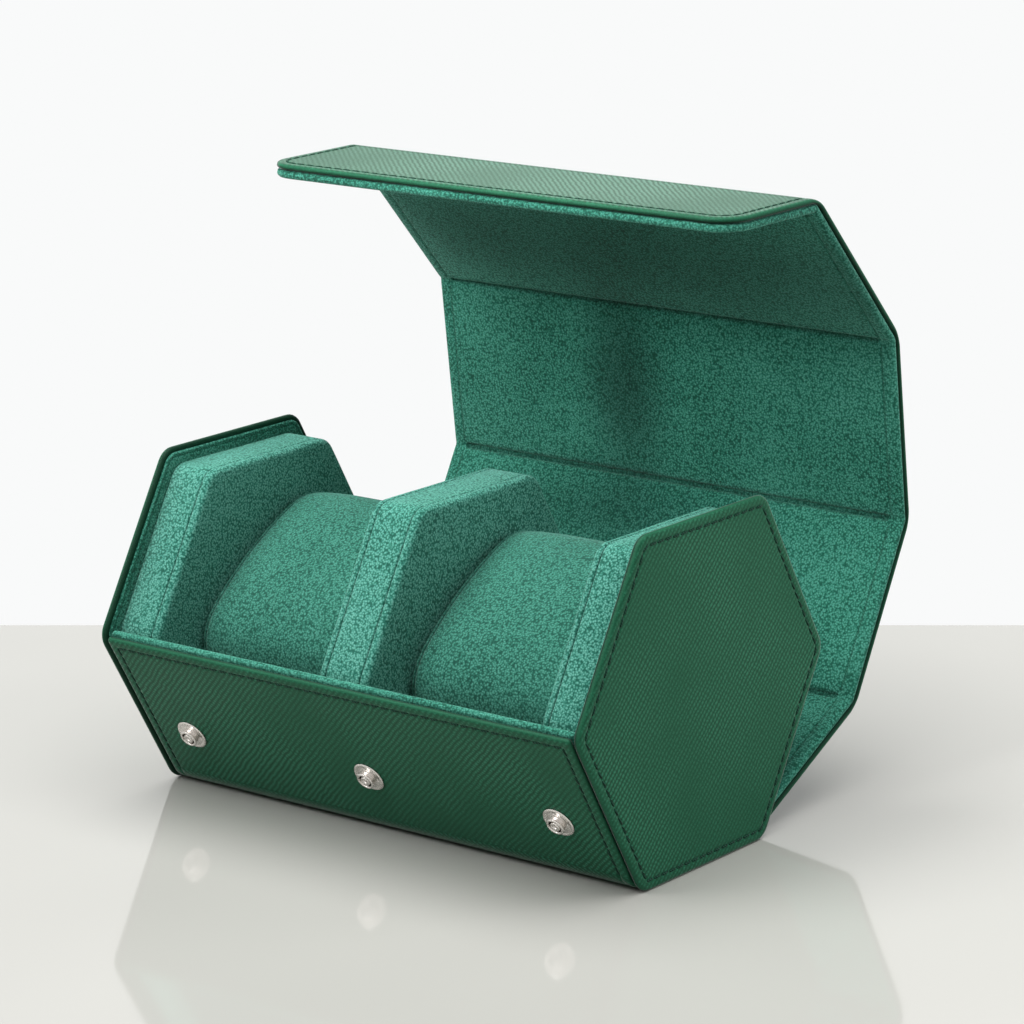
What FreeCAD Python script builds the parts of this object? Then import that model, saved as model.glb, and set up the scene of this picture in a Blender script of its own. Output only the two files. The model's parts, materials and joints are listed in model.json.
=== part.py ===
import FreeCAD, Part
import math
import os

# Two-place hexagonal watch roll, lying on its flat bottom with the wrap lid open.
# X runs along the case, Y to the rear, Z up; the origin is the centre of the bottom face.
# Lengths are in millimetres, angles in degrees.

# Case outline: a regular hexagon between two end caps
hexagon_side = 56.0
case_length = 168.0
cut_overrun = 2.0

# End caps, from the outside in
cap_leather = 0.9
cap_board = 1.0
cap_lining = 0.5
cap_corner_radius = 6.0
cap_edge_bevel = 0.4

# Wrap panels, from the outside in
panel_leather = 1.0
panel_board = 2.2
panel_lining = 1.0
panel_side_gap = 0.4

# Leather folds: a round bead on each fold axis, with the panel edges mitred round it
fold_radius = 1.25
fold_gap = 0.3
mitre_gap = 0.2

# Lid as it stands open: how far each fold turns from the panel before it
rear_base_turn = 26.7
rear_middle_turn = 34.5
rear_top_turn = 35.5
front_top_turn = 35.5
flap_turn = 47.9

# Flap, and how the closed lid lies over the front panel
flap_length = 41.0
flap_corner_radius = 9.0
flap_stand_off = 1.5
binding_clearance = 0.4

# Pads at the caps and divider between the two bays
pad_margin = 4.8
pad_seat_gap = 0.3
pad_thickness = 14.3
divider_thickness = 17.0
pad_corner_radius = 6.0
pad_edge_bevel = 1.2
pad_cover = 1.2
pad_core_gap = 0.2

# Watch cushions: an oval roll, tilted so that its broad face looks up and forward
cushion_length = 71.0
cushion_thickness = 44.6
cushion_tilt = 33.5
cushion_side_gap = 0.4
cushion_broad_radius = 120.0
cushion_end_radius = 45.0
cushion_corner_radius = 13.5
cushion_side_drop = 6.0
cushion_cover = 0.9
cushion_core_gap = 0.3
cushion_place_shares = (0.3, 0.72, 0.94, 1.0)
cushion_drop_shares = (0.01, 0.2, 0.55, 1.0)
cushion_arc_steps = (2, 3, 1)

# Press studs on the front panel, the outer two set in from its sides
stud_side_margin = 16.2
stud_flange_radius = 4.8
stud_flange_thickness = 0.7
stud_rim_thickness = 0.4
stud_neck_radius = 2.35
stud_neck_height = 1.8
stud_head_radius = 2.75
stud_head_height = 2.15
stud_tip_radius = 2.45
stud_height = 2.6
stud_bore_radius = 1.85

# Rivets that hold the studs and the sockets
rivet_head_radius = 3.6
rivet_head_thickness = 0.6
rivet_shank_radius = 1.1
rivet_lip_radius = 1.6
rivet_lip_thickness = 0.25
rivet_gap = 0.05

# Sockets on the flap, set in from its free edge, each with a spring ring in its groove
socket_end_margin = 6.3
socket_radius = 4.3
socket_height = 2.3
socket_proud = 0.5
socket_back_thickness = 0.5
socket_mouth_radius = 3.05
socket_fit_gap = 0.1
spring_wire_radius = 0.28
spring_ring_radius = 2.88
spring_depth = 0.5
spring_groove_gap = 0.12

# Worked out from the sizes above
hexagon_sides = 6
hexagon_turn = 360 / hexagon_sides
apothem = hexagon_side * math.cos(math.radians(hexagon_turn / 2))
half_height = apothem
cap_thickness = cap_leather + cap_board + cap_lining
cap_inside = case_length / 2 - cap_thickness
panel_thickness = panel_leather + panel_board + panel_lining
panel_half_width = cap_inside - panel_side_gap
binding_radius = panel_thickness / 2
fold_setback = fold_radius * math.tan(math.radians(hexagon_turn / 2))
side_between_folds = hexagon_side - 2 * fold_setback
front_heading = -hexagon_turn
stud_spacing = panel_half_width - stud_side_margin
stud_places = (-stud_spacing, 0.0, stud_spacing)
layers = {
    "leather": (0.0, panel_leather),
    "board": (panel_leather, panel_leather + panel_board),
    "lining": (panel_leather + panel_board, panel_thickness),
}


def vector(x, point):
    return FreeCAD.Vector(x, point[0], point[1])


def ahead(heading):
    # Unit step in the Y-Z plane
    return math.cos(math.radians(heading)), math.sin(math.radians(heading))


def dot(first, second):
    return first[0] * second[0] + first[1] * second[1]


def moved(point, heading, distance):
    step = ahead(heading)
    return point[0] + distance * step[0], point[1] + distance * step[1]


def placed(shape, point, heading, x=0.0):
    # Set a shape made about a fold axis into the case
    turned = FreeCAD.Rotation(FreeCAD.Vector(1, 0, 0), heading)
    return shape.transformed(FreeCAD.Placement(vector(x, point), turned).toMatrix())


def prism(points, low, high):
    corners = [vector(low, point) for point in points]
    face = Part.Face(Part.makePolygon(corners + corners[:1]))
    return face.extrude(FreeCAD.Vector(high - low, 0, 0))


def rod(radius, half_width, place=0.0):
    # Cylinder along X through a place on a panel's Y axis
    start = FreeCAD.Vector(-half_width, place, 0)
    return Part.makeCylinder(radius, 2 * half_width, start, FreeCAD.Vector(1, 0, 0))


def turned_round(profile):
    # Revolve (radius, height) points about Z
    points = [FreeCAD.Vector(radius, 0, height) for radius, height in profile]
    face = Part.Face(Part.makePolygon(points + points[:1]))
    return face.revolve(FreeCAD.Vector(0, 0, 0), FreeCAD.Vector(0, 0, 1), 360)


def hexagon_corners(insets):
    # Corners of the case hexagon with its six sides set in, from the bottom side round by the rear
    corners = []
    for number in range(len(insets)):
        heading = number * hexagon_turn
        here = apothem - insets[number]
        after = apothem - insets[(number + 1) % len(insets)]
        along = (after - here * ahead(hexagon_turn)[0]) / ahead(hexagon_turn)[1]
        foot = moved((0.0, half_height), heading - 90, here)
        corners.append(moved(foot, heading, along))
    return corners


def rounded_plate(corners, radius, low, high):
    # Plate across X with its corners rounded
    setback = radius * math.tan(math.radians(hexagon_turn / 2))
    edges = []
    for number, corner in enumerate(corners):
        heading = number * hexagon_turn
        start = moved(corner, heading, -setback)
        centre = moved(start, heading + 90, radius)
        middle = moved(centre, heading + hexagon_turn / 2 - 90, radius)
        end = moved(corner, heading + hexagon_turn, setback)
        arc = Part.Arc(vector(low, start), vector(low, middle), vector(low, end))
        before = corners[number - 1]
        before_end = moved(before, heading, setback)
        edges.append(Part.makeLine(vector(low, before_end), vector(low, start)))
        edges.append(arc.toShape())
    return Part.Face(Part.Wire(edges)).extrude(FreeCAD.Vector(high - low, 0, 0))


def rim_edges(plate, x):
    # The edges round the plate's face at one X
    near = plate.BoundBox.XLength / 4
    return [edge for edge in plate.Edges if abs(edge.CenterOfMass.x - x) < near]


def edge_setback(depth, mitre):
    # How far a panel's edge stands back from its fold axis; a free end has no mitre
    if mitre is None:
        return 0.0
    return mitre_gap + max(0.0, depth - fold_radius) * math.tan(math.radians(mitre))


def panel_layer(length, depths, start_mitre, end_mitre):
    # One layer of a panel: Y from its first fold axis to its second, Z inward
    low, high = depths
    steps = [low, fold_radius, high] if low < fold_radius < high else [low, high]
    start = [(edge_setback(depth, start_mitre), depth - fold_radius) for depth in steps]
    end = [(length - edge_setback(depth, end_mitre), depth - fold_radius) for depth in steps]
    solid = prism(start + end[::-1], -panel_half_width, panel_half_width)
    for place, mitre in ((0.0, start_mitre), (length, end_mitre)):
        if mitre is not None:
            solid = solid.cut(rod(fold_radius + fold_gap, panel_half_width + cut_overrun, place))
    return solid


def fold_bead():
    return rod(fold_radius, panel_half_width)


def hole(radius, low, high, x, y):
    # Round hole through a panel between two depths
    base = FreeCAD.Vector(x, y, low - fold_radius)
    return Part.makeCylinder(radius, high - low, base)


# Fold axes of the closed case, as (y, z)
bottom_front_axis = (-side_between_folds / 2, fold_radius)
rear_base_axis = (side_between_folds / 2, fold_radius)
front_top_axis_closed = (-side_between_folds / 2, 2 * half_height - fold_radius)

# Front panel: from the centre of its edge binding down to the bottom fold
front_length = hexagon_side - fold_setback - binding_radius
front_start = moved(bottom_front_axis, front_heading, -front_length)
binding_depth = panel_thickness / 2 - fold_radius
binding_centre = moved(front_start, front_heading + 90, binding_depth)
front_vertex = (-hexagon_side, half_height)

# Closed front upper panel: it rests over the binding
reach = (binding_centre[0] - front_top_axis_closed[0], binding_centre[1] - front_top_axis_closed[1])
inner_distance = panel_thickness - fold_radius + binding_radius + binding_clearance
reach_heading = math.degrees(math.atan2(reach[1], reach[0])) % 360
lean = math.degrees(math.acos(inner_distance / math.hypot(*reach)))
front_upper_heading = reach_heading - 90 + lean
front_top_closed = front_upper_heading - 3 * hexagon_turn
flap_closed = front_heading + 360 - front_upper_heading

# Closed flap: it lies parallel to the front panel, off it by the stand-off
outward = ahead(front_heading - 90)
flap_offset = flap_stand_off + panel_thickness - fold_radius
flap_rise = dot(outward, front_vertex) + flap_offset - dot(outward, front_top_axis_closed)
front_upper_length = flap_rise / dot(outward, ahead(front_upper_heading))
flap_axis_closed = moved(front_top_axis_closed, front_upper_heading, front_upper_length)
socket_place = flap_length - socket_end_margin
stud_foot = moved(flap_axis_closed, front_heading, socket_place)
stud_reach = (stud_foot[0] - front_start[0], stud_foot[1] - front_start[1])
stud_place = dot(stud_reach, ahead(front_heading))

# Lid panels in order: name, length, fold turn as it stands open, fold turn closed, fold name
lid = (
    ("rear_lower", side_between_folds, rear_base_turn, hexagon_turn, "rear_base_fold"),
    ("rear_upper", side_between_folds, rear_middle_turn, hexagon_turn, "rear_middle_fold"),
    ("top", side_between_folds, rear_top_turn, hexagon_turn, "rear_top_fold"),
    ("front_upper", front_upper_length, front_top_turn, front_top_closed, "front_top_fold"),
    ("flap", flap_length, flap_turn, flap_closed, "flap_fold"),
)


def end_cap(side):
    # Three glued layers, the leather outermost
    corners = hexagon_corners([0.0] * hexagon_sides)
    edges = (case_length / 2, case_length / 2 - cap_leather, cap_inside + cap_lining, cap_inside)
    shapes = {}
    for name, outer, inner in zip(layers, edges[:-1], edges[1:]):
        low, high = sorted((side * outer, side * inner))
        shapes[name] = rounded_plate(corners, cap_corner_radius, low, high)
    rim = rim_edges(shapes["leather"], side * case_length / 2)
    shapes["leather"] = shapes["leather"].makeChamfer(cap_edge_bevel, rim)
    return shapes


def front_panel():
    shapes = {}
    for name, depths in layers.items():
        shapes[name] = panel_layer(front_length, depths, None, hexagon_turn / 2)
    board_inside = layers["board"][1]
    shank = rivet_shank_radius + rivet_gap
    head = rivet_head_radius + rivet_gap
    for x in stud_places:
        shank_hole = hole(shank, -cut_overrun, board_inside, x, stud_place)
        head_recess = hole(head, board_inside - rivet_head_thickness, board_inside, x, stud_place)
        shapes["leather"] = shapes["leather"].cut(shank_hole)
        shapes["board"] = shapes["board"].cut(shank_hole).cut(head_recess)
    return {name: placed(shape, front_start, front_heading) for name, shape in shapes.items()}


def front_binding():
    # Half-round suede roll over the front panel's top edge
    roll = rod(binding_radius, panel_half_width)
    lower = Part.makeBox(
        2 * (panel_half_width + cut_overrun),
        binding_radius + cut_overrun,
        2 * (binding_radius + cut_overrun),
        FreeCAD.Vector(-panel_half_width - cut_overrun, 0, -binding_radius - cut_overrun),
    )
    return placed(roll.cut(lower), binding_centre, front_heading)


def bottom_panel():
    mitre = hexagon_turn / 2
    shapes = {}
    for name, depths in layers.items():
        solid = panel_layer(side_between_folds, depths, mitre, mitre)
        shapes[name] = placed(solid, bottom_front_axis, 0)
    return shapes


def press_stud():
    # Flange and hollow post with a lipped head, standing up along Z from the leather
    shank = rivet_shank_radius + rivet_gap
    return turned_round((
        (shank, 0),
        (stud_flange_radius, 0),
        (stud_flange_radius, stud_rim_thickness),
        (stud_neck_radius, stud_flange_thickness),
        (stud_neck_radius, stud_neck_height),
        (stud_head_radius, stud_head_height),
        (stud_tip_radius, stud_height),
        (stud_bore_radius, stud_height),
        (stud_bore_radius, stud_flange_thickness),
        (shank, stud_flange_thickness),
    ))


def rivet(grip):
    # Head, shank and rolled lip; Z runs from under the head to the far side of what it grips
    return turned_round((
        (0, -rivet_head_thickness),
        (rivet_head_radius, -rivet_head_thickness),
        (rivet_head_radius, 0),
        (rivet_shank_radius, 0),
        (rivet_shank_radius, grip),
        (rivet_lip_radius, grip),
        (rivet_lip_radius, grip + rivet_lip_thickness),
        (0, grip + rivet_lip_thickness),
    ))


def facing_out(shape, depth, x, y):
    # Stand a turned piece on a panel at a depth, with its Z axis pointing out of the case
    flipped = FreeCAD.Rotation(FreeCAD.Vector(1, 0, 0), 180)
    base = FreeCAD.Vector(x, y, depth - fold_radius)
    return shape.transformed(FreeCAD.Placement(base, flipped).toMatrix())


def facing_in(shape, depth, x, y):
    moved_shape = shape.copy()
    moved_shape.translate(FreeCAD.Vector(x, y, depth - fold_radius))
    return moved_shape


def front_studs():
    studs = [facing_out(press_stud(), 0, x, stud_place) for x in stud_places]
    return placed(Part.makeCompound(studs), front_start, front_heading)


def stud_rivets():
    under_head = layers["board"][1] - rivet_head_thickness
    one = rivet(under_head + stud_flange_thickness)
    rivets = [facing_out(one, under_head, x, stud_place) for x in stud_places]
    return placed(Part.makeCompound(rivets), front_start, front_heading)


def stud_socket():
    # Cup with a groove for its spring; Z runs from its back to its mouth
    shank = rivet_shank_radius + rivet_gap
    groove_half = spring_wire_radius + spring_groove_gap
    groove_radius = spring_ring_radius + groove_half
    spring_height = socket_height - spring_depth
    return turned_round((
        (shank, 0),
        (socket_radius, 0),
        (socket_radius, socket_height),
        (socket_mouth_radius, socket_height),
        (socket_mouth_radius, spring_height + groove_half),
        (groove_radius, spring_height + groove_half),
        (groove_radius, spring_height - groove_half),
        (socket_mouth_radius, spring_height - groove_half),
        (socket_mouth_radius, socket_back_thickness),
        (shank, socket_back_thickness),
    ))


def socket_spring():
    # Ring of square wire in the socket's groove
    centre = (spring_ring_radius, socket_height - spring_depth)
    return turned_round([moved(centre, heading, spring_wire_radius) for heading in (0, 90, 180, 270)])


def flap_outline():
    # Plan of the flap with its two free corners rounded, as a block through all layers
    low = -fold_radius - cut_overrun
    tall = panel_thickness + 2 * cut_overrun
    block = Part.makeBox(
        2 * panel_half_width,
        flap_length + cut_overrun,
        tall,
        FreeCAD.Vector(-panel_half_width, -cut_overrun, low),
    )
    corners = [
        edge
        for edge in block.Edges
        if all(vertex.Y > flap_length / 2 for vertex in edge.Vertexes)
        and abs(edge.Vertexes[0].Z - edge.Vertexes[1].Z) > tall / 2
    ]
    return block.makeFillet(flap_corner_radius, corners)


def flap_panel(start_mitre):
    shapes = {}
    for name, depths in layers.items():
        shapes[name] = panel_layer(flap_length, depths, start_mitre, None).common(flap_outline())
    back = panel_thickness + socket_proud - socket_height
    board_outside = layers["board"][0]
    shank = rivet_shank_radius + rivet_gap
    for x in stud_places:
        seat = hole(socket_radius + socket_fit_gap, back, panel_thickness + cut_overrun, x, socket_place)
        shank_hole = hole(shank, board_outside, panel_thickness, x, socket_place)
        head = rivet_head_radius + rivet_gap
        head_recess = hole(head, board_outside, board_outside + rivet_head_thickness, x, socket_place)
        shapes["lining"] = shapes["lining"].cut(seat)
        shapes["board"] = shapes["board"].cut(seat).cut(shank_hole).cut(head_recess)
    return shapes


def flap_fittings():
    back = panel_thickness + socket_proud - socket_height
    under_head = layers["board"][0] + rivet_head_thickness
    grip = back + socket_back_thickness - under_head
    sockets = [facing_in(stud_socket(), back, x, socket_place) for x in stud_places]
    springs = [facing_in(socket_spring(), back, x, socket_place) for x in stud_places]
    rivets = [facing_in(rivet(grip), under_head, x, socket_place) for x in stud_places]
    return {
        "stud_sockets": Part.makeCompound(sockets),
        "socket_springs": Part.makeCompound(springs),
        "socket_rivets": Part.makeCompound(rivets),
    }


def pad(low, high, soft_faces):
    # Suede cover over a rigid hexagonal core; the listed faces across X have bevelled rims
    seat = panel_thickness + pad_seat_gap
    insets = [seat, pad_margin, pad_margin, pad_margin, pad_margin, seat]

    def plate(inset):
        corners = hexagon_corners([side + inset for side in insets])
        return rounded_plate(corners, pad_corner_radius - inset, low + inset, high - inset)

    outside = plate(0.0)
    for x in soft_faces:
        outside = outside.makeChamfer(pad_edge_bevel, rim_edges(outside, x))
    return {"cover": outside.cut(plate(pad_cover)), "core": plate(pad_cover + pad_core_gap)}


def cushion_arcs():
    # Quarter of the cushion's section: broad, corner and end arcs that run into each other
    broad_centre = (0.0, cushion_thickness / 2 - cushion_broad_radius)
    end_centre = (cushion_length / 2 - cushion_end_radius, 0.0)
    to_broad = cushion_broad_radius - cushion_corner_radius
    to_end = cushion_end_radius - cushion_corner_radius
    apart = math.hypot(end_centre[0], broad_centre[1])
    along = (apart**2 + to_broad**2 - to_end**2) / (2 * apart)
    lean = math.degrees(math.acos(along / to_broad))
    line = math.degrees(math.atan2(-broad_centre[1], end_centre[0]))
    broad_turn = max(line - lean, line + lean, key=lambda turn: ahead(turn)[0])
    corner_centre = moved(broad_centre, broad_turn, to_broad)
    end_turn = math.degrees(math.atan2(corner_centre[1], corner_centre[0] - end_centre[0]))
    return (
        (broad_centre, cushion_broad_radius, 90.0, broad_turn),
        (corner_centre, cushion_corner_radius, broad_turn, end_turn),
        (end_centre, cushion_end_radius, end_turn, 0.0),
    )


def oval(x, inset):
    # Corners of the cushion's section across X, set in all round so that its short sides stay parallel
    quarter = [(0.0, cushion_thickness / 2 - inset)]
    for (centre, radius, first, last), steps in zip(cushion_arcs(), cushion_arc_steps):
        for step in range(1, steps + 1):
            quarter.append(moved(centre, first + (last - first) * step / steps, radius - inset))
    half = quarter + [(y, -z) for y, z in quarter[-2::-1]]
    ring = half + [(-y, z) for y, z in half[-2:0:-1]]
    return [vector(x, point) for point in ring]


def skinned(rings):
    # Solid with flat faces between neighbouring rings of corners
    outlines = [rings[0], rings[-1]]
    for first, second in zip(rings[:-1], rings[1:]):
        for number in range(len(first)):
            outlines.append([first[number - 1], first[number], second[number], second[number - 1]])
    shell = Part.makeShell([Part.Face(Part.makePolygon(corners + corners[:1])) for corners in outlines])
    shell.sewShape()
    return Part.makeSolid(shell)


def cushion_roll(half_width, inset):
    rings = []
    steps = list(zip(cushion_place_shares, cushion_drop_shares))
    mirrored = [(-place, drop) for place, drop in reversed(steps)]
    for place, drop in mirrored + steps:
        rings.append(oval(place * (half_width - inset), inset + drop * cushion_side_drop))
    return skinned(rings)


def cushion(bay_low, bay_high):
    half_width = (bay_high - bay_low) / 2 - cushion_side_gap
    cover = cushion_roll(half_width, 0.0).cut(cushion_roll(half_width, cushion_cover))
    core = cushion_roll(half_width, cushion_cover + cushion_core_gap)
    middle = (bay_low + bay_high) / 2
    shapes = {"cover": cover, "core": core}
    return {name: placed(s, (0.0, half_height), cushion_tilt, middle) for name, s in shapes.items()}


def add_group(nodes, prefix, shapes):
    for name, shape in shapes.items():
        nodes[prefix + "_" + name] = shape


def build():
    nodes = {}
    add_group(nodes, "left_cap", end_cap(-1))
    add_group(nodes, "right_cap", end_cap(1))
    add_group(nodes, "front", front_panel())
    add_group(nodes, "bottom", bottom_panel())
    nodes["front_binding"] = front_binding()
    nodes["front_base_fold"] = placed(fold_bead(), bottom_front_axis, 0)
    nodes["press_studs"] = front_studs()
    nodes["stud_rivets"] = stud_rivets()

    pad_face = cap_inside - pad_thickness
    half_divider = divider_thickness / 2
    add_group(nodes, "left_pad", pad(-cap_inside, -pad_face, [-pad_face]))
    add_group(nodes, "divider", pad(-half_divider, half_divider, [-half_divider, half_divider]))
    add_group(nodes, "right_pad", pad(pad_face, cap_inside, [pad_face]))
    add_group(nodes, "left_cushion", cushion(-pad_face, -half_divider))
    add_group(nodes, "right_cushion", cushion(half_divider, pad_face))

    axis, heading = rear_base_axis, 0.0
    for number, (name, length, turn, closed, fold) in enumerate(lid):
        heading += turn
        nodes[fold] = placed(fold_bead(), axis, 0)
        if name == "flap":
            shapes = flap_panel(closed / 2)
            for piece, shape in flap_fittings().items():
                nodes[piece] = placed(shape, axis, heading)
        else:
            end_mitre = lid[number + 1][3] / 2
            shapes = {n: panel_layer(length, d, closed / 2, end_mitre) for n, d in layers.items()}
        add_group(nodes, name, {n: placed(shape, axis, heading) for n, shape in shapes.items()})
        print(f"{fold}: axis y {axis[0]:.4f} z {axis[1]:.4f}, opens {turn:.2f}, closes {closed - turn:.2f}")
        axis = moved(axis, heading, length)
    return nodes


os.makedirs("parts", exist_ok=True)
for node, shape in build().items():
    shape.exportStep(os.path.join("parts", node + ".step"))
    print(f"{node}: {len(shape.Solids)} solids, {shape.Volume:.1f} mm3, valid {shape.isValid()}")
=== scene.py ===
import bpy
import bmesh
import json
import math
from mathutils import Matrix, Vector, noise


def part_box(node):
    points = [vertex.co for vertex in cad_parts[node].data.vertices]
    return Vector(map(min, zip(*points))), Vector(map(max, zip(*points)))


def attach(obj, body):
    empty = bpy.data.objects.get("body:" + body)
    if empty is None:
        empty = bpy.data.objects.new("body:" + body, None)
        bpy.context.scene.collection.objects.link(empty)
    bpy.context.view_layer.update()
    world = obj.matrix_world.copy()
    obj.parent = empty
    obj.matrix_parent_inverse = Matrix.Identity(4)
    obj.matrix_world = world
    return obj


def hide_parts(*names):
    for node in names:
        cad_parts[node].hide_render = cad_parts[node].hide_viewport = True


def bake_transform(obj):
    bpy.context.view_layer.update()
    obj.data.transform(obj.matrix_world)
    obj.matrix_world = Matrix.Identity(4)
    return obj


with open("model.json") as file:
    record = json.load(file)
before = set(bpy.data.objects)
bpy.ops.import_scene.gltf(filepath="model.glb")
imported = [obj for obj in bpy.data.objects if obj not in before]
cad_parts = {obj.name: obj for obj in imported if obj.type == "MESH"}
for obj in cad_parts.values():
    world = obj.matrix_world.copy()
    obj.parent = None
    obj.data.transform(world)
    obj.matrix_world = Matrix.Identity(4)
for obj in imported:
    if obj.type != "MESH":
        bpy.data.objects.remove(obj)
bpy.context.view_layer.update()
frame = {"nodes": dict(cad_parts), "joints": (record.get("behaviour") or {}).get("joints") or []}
scene = bpy.context.scene
mm = 0.001  # lengths below are in millimetres
print("frame loaded:", len(frame["nodes"]), "nodes")


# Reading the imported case: everything below is placed from these

def boxMm(node):
    low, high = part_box(node)
    return low / mm, high / mm


def reachMm(node, origin, along):  # furthest point of a node along a line in the Y-Z plane
    points = [vertex.co / mm for vertex in frame["nodes"][node].data.vertices]
    return max((p.y - origin[0]) * along[0] + (p.z - origin[1]) * along[1] for p in points)


def unit(angle):
    return math.cos(math.radians(angle)), math.sin(math.radians(angle))


hexTurn = 60  # each side of the case turns by this from the last, in degrees
capHigh = boxMm("right_cap_leather")[1]
apothem = capHigh.z / 2  # from the hexagon's middle to a flat side
halfLength = capHigh.x
halfWidth = boxMm("bottom_leather")[1].x
panelThick = boxMm("bottom_lining")[1].z
capThick = halfLength - boxMm("right_cap_lining")[0].x
foldRadius = (boxMm("rear_base_fold")[1].z - boxMm("rear_base_fold")[0].z) / 2
mitreGap = 0.2  # bare gap at each panel edge beside its fold

foldNames = ("rear_base_fold", "rear_middle_fold", "rear_top_fold", "front_top_fold", "flap_fold")
joints = {joint["name"]: joint for joint in frame["joints"]}
foldAxes = [(joints[name]["pos_m"][1] / mm, joints[name]["pos_m"][2] / mm) for name in foldNames]
openTurns = [joints[name]["range_deg"][1] for name in foldNames]
closedTurns = [joints[name]["range_deg"][1] - joints[name]["range_deg"][0] for name in foldNames]
rearBase = foldAxes[0]
frontBase = (-rearBase[0], rearBase[1])


class Panel:
    # A flat board of the wrap: along runs from its first fold, inward points into the case;
    # mitres are the half turns of its two folds, and a free edge has none
    def __init__(self, name, body, origin, heading, length, mitres, side=1):
        self.name, self.body, self.origin, self.heading = name, body, origin, heading
        self.length, self.mitres, self.side = length, mitres, side
        self.along = unit(heading)
        self.inward = unit(heading + 90 * side)

    def point(self, x, y, depth):  # depth 0 is the outside of the leather
        lift = depth - foldRadius
        return (
            x,
            self.origin[0] + y * self.along[0] + lift * self.inward[0],
            self.origin[1] + y * self.along[1] + lift * self.inward[1],
        )

    def setBack(self, depth, mitre):
        return mitreGap + max(0.0, depth - foldRadius) * math.tan(math.radians(mitre))


wrapOrder = ("bottom", "rear_lower", "rear_upper", "top", "front_upper", "flap")
baseMitre = hexTurn / 2


def layOutPanels():
    panels = {}
    heading = 2 * hexTurn
    frontReach = reachMm("front_binding", frontBase, unit(heading))
    panels["front"] = Panel("front", "case_body", frontBase, heading, frontReach, (baseMitre, None), -1)
    panels["bottom"] = Panel("bottom", "case_body", frontBase, 0, 2 * rearBase[0], (baseMitre, baseMitre))
    heading = 0.0
    for number, name in enumerate(wrapOrder[1:]):
        heading += openTurns[number]
        start = foldAxes[number]
        if name == "flap":
            length, endMitre = reachMm("flap_leather", start, unit(heading)), None
        else:
            length = math.dist(start, foldAxes[number + 1])
            endMitre = closedTurns[number + 1] / 2
        body = "flap" if name == "flap" else name + "_panel"
        panels[name] = Panel(name, body, start, heading, length, (closedTurns[number] / 2, endMitre))
    return panels


panels = layOutPanels()
wrapStart = {}  # how far round the wrap each panel starts, for a grain that runs on
run = 0.0
for panelName in wrapOrder:
    wrapStart[panelName] = run
    run += panels[panelName].length
print("panels:", {name: round(panel.length, 1) for name, panel in panels.items()})


# Materials

waveUnit = 0.314  # one band of a wave texture at scale 1


def hexLinear(code):
    values = [int(code[place:place + 2], 16) / 255 for place in (1, 3, 5)]
    return [v / 12.92 if v <= 0.04045 else ((v + 0.055) / 1.055) ** 2.4 for v in values] + [1.0]


def addNode(tree, kind, settings=None, **inputs):
    node = tree.nodes.new(kind)
    for key, value in (settings or {}).items():
        setattr(node, key, value)
    for key, value in inputs.items():
        key = int(key[2:]) if key.startswith("in") and key[2:].isdigit() else key.replace("_", " ")
        value = value.outputs[0] if isinstance(value, bpy.types.Node) else value
        if isinstance(value, bpy.types.NodeSocket):
            tree.links.new(value, node.inputs[key])
        else:
            node.inputs[key].default_value = value
    return node


def startMaterial(name):
    material = bpy.data.materials.new(name)
    material.use_nodes = True
    material.node_tree.nodes.clear()
    return material, material.node_tree


def setRamp(node, stops):
    ramp = node.color_ramp
    while len(ramp.elements) < len(stops):
        ramp.elements.new(0.5)
    for element, (place, code) in zip(ramp.elements, stops):
        element.position = place
        element.color = hexLinear(code)
    return node.outputs["Color"]


def finishMaterial(material, shader):
    addNode(material.node_tree, "ShaderNodeOutputMaterial", Surface=shader)
    return material


# Calf leather, plate-embossed and pigment-finished: straight diagonal ridges broken into short beads,
# a little darker in the valleys and fading here and there, with a satin shine that greys at a low angle
leather = {
    "slant": 45.0, "ridgePitch": 1.4, "ridgeSway": 1.4,
    "beadPitch": 1.2, "beadSway": 7.0, "beadShare": 0.6, "beadKeep": 0.35,
    "wander": 0.45, "wanderSize": 4.5, "poreSize": 0.45, "poreShare": 0.55,
    "handSize": 50.0, "handShare": 0.3,  # the broad unevenness of the hand finish
    "valley": "#13402c", "body": "#1f5a41", "top": "#30755a", "toneSpan": (0.45, 1.15),
    "roughness": 0.4, "worn": 0.12, "lift": 0.1, "edgeShade": 0.3, "sheen": "#f0e6ec",
}


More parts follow.
